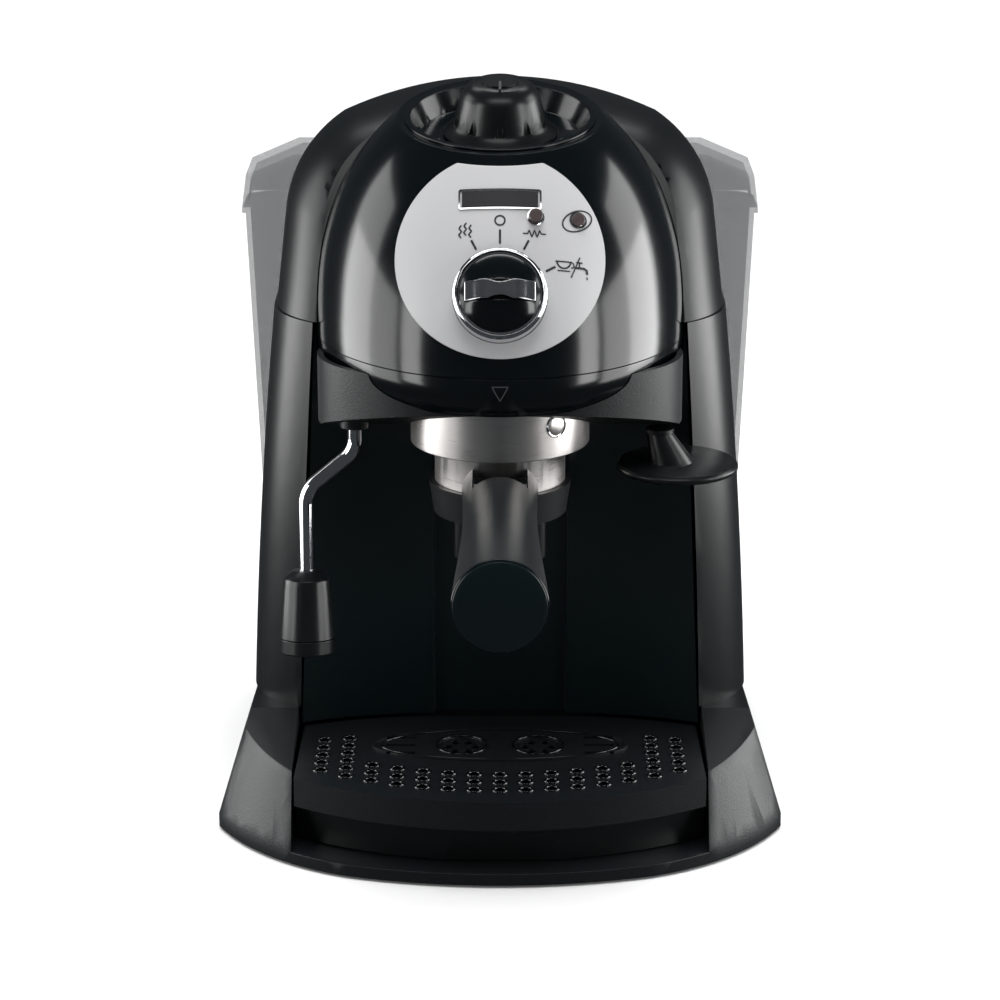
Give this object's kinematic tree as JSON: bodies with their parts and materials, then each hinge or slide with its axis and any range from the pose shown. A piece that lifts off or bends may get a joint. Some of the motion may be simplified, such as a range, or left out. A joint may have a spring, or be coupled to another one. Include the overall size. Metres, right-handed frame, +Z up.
{
  "type": "espresso machine",
  "caption": "Domed black pump espresso machine with bayonet filter holder, steam wand, tamper, drip tray and rear water tank.",
  "frame": {"origin": "on the counter, on the machine's middle line, under the front part of its rear body", "axes": "+X to the right seen from the front, +Y to the rear, +Z up"},
  "size_m": [0.231, 0.3195, 0.3056],
  "materials": {
    "black_satin": "satin",
    "black_texture": "fine texture",
    "black_gloss": "gloss",
    "panel_black": "semi gloss",
    "silver_paint": "satin silver",
    "chrome": "polished",
    "stainless": "brushed",
    "aluminium_cast": "cast",
    "brass_part": "machined",
    "smoke_clear": "clear smoke",
    "rubber_black": "matte",
    "silicone_red": "matte",
    "hose_white": "satin",
    "lamp_lens": "gloss",
    "board_green": "matte",
    "steel_zinc": "zinc plated",
    "ptfe_white": "matte"
  },
  "bodies": {
    "machine": {"base_skirt": "black_texture", "base_plate": "black_satin", "rubber_feet": "rubber_black", "base_screws": "steel_zinc", "side_housing": "black_satin", "top_cover": "black_satin", "splash_panel": "panel_black", "head_cover": "black_gloss", "head_skirt": "black_gloss", "control_plate": "silver_paint", "head_underside": "black_texture", "dial_bezel": "chrome", "selector_switch": "ptfe_white", "indicator_lenses": "lamp_lens", "lamp_board": "board_green", "knob_dish": "black_gloss", "steam_valve_body": "brass_part", "group_ring": "stainless", "group_gasket": "rubber_black", "boiler_lower": "aluminium_cast", "boiler_gasket": "silicone_red", "boiler_upper": "aluminium_cast", "boiler_screws": "steel_zinc", "heater_terminals": "steel_zinc", "thermostats": "ptfe_white", "shower_screen": "stainless", "shower_screw": "steel_zinc", "tamper": "black_satin", "wand_bush": "black_satin", "steam_pipe": "ptfe_white", "tank_valve_spring": "steel_zinc", "tank_socket": "rubber_black", "pump_body": "black_satin", "pump_mounts": "rubber_black", "suction_hose": "hose_white", "pressure_hose": "ptfe_white", "cord_inlet": "black_satin"},
    "selector": {"dial_knob": "black_gloss", "dial_grip_bar": "chrome", "dial_spindle": "steel_zinc"},
    "steam_tap": {"steam_knob": "black_satin", "steam_valve_spindle": "brass_part"},
    "wand": {"wand_tube": "chrome", "wand_tip": "brass_part"},
    "frother": {"frother_sleeve": "black_satin", "frother_ring": "black_satin"},
    "portafilter": {"filter_holder": "stainless", "filter_basket": "stainless", "filter_collar": "black_texture", "handle": "black_texture", "handle_end_cap": "panel_black", "spout": "black_satin"},
    "clip": {"filter_clip": "black_gloss"},
    "tray": {"drip_tray": "black_satin"},
    "grid": {"drip_grid": "black_texture"},
    "tank": {"water_tank": "smoke_clear"},
    "lid": {"tank_lid": "smoke_clear"},
    "outlet_valve": {"tank_valve": "ptfe_white"},
    "piston": {"pump_piston": "steel_zinc"}
  },
  "joints": [
    {"name": "selector_turn", "type": "hinge", "parent": "machine", "child": "selector", "pos_m": [0, -0.097, 0.2345], "axis": [0, -0.891, 0.454], "range_deg": [-61, 27]},
    {"name": "steam_knob_turn", "type": "hinge", "parent": "machine", "child": "steam_tap", "pos_m": [0, -0.025, 0.2893], "axis": [0, -0.1736, 0.9848], "range_deg": [0, 270]},
    {"name": "wand_swing", "type": "hinge", "parent": "machine", "child": "wand", "pos_m": [-0.0574, -0.06, 0.172], "axis": [0, 0, 1], "range_deg": [0, 60]},
    {"name": "frother_slide", "type": "slide", "parent": "wand", "child": "frother", "axis": [0, -0.1392, -0.9903], "range_m": [0, 0.02]},
    {"name": "portafilter_turn", "type": "hinge", "parent": "machine", "child": "portafilter", "pos_m": [0, -0.056, 0.17], "axis": [0, 0, 1], "range_deg": [-40, 0]},
    {"name": "filter_clip_rock", "type": "hinge", "parent": "portafilter", "child": "clip", "pos_m": [0, -0.0943, 0.1524], "axis": [1, 0, 0], "range_deg": [0, 20]},
    {"name": "tray_slide", "type": "slide", "parent": "machine", "child": "tray", "axis": [0, -1, 0], "range_m": [0, 0.1]},
    {"name": "grid_lift", "type": "slide", "parent": "tray", "child": "grid", "axis": [0, 0, 1], "range_m": [0, 0.018]},
    {"name": "tank_lift", "type": "slide", "parent": "machine", "child": "tank", "axis": [0, 0, 1], "range_m": [0, 0.2]},
    {"name": "lid_open", "type": "hinge", "parent": "tank", "child": "lid", "pos_m": [0, 0.1246, 0.2294], "axis": [-1, 0, 0], "range_deg": [0, 95]},
    {"name": "outlet_valve_lift", "type": "slide", "parent": "tank", "child": "outlet_valve", "axis": [0, 0, 1], "range_m": [0, 0.002], "stiffness_N_per_m": 100, "springref_m": -0.001},
    {"name": "pump_piston_stroke", "type": "slide", "parent": "machine", "child": "piston", "axis": [1, 0, 0], "range_m": [0, 0.004], "stiffness_N_per_m": 1500, "springref_m": -0.001}
  ]
}
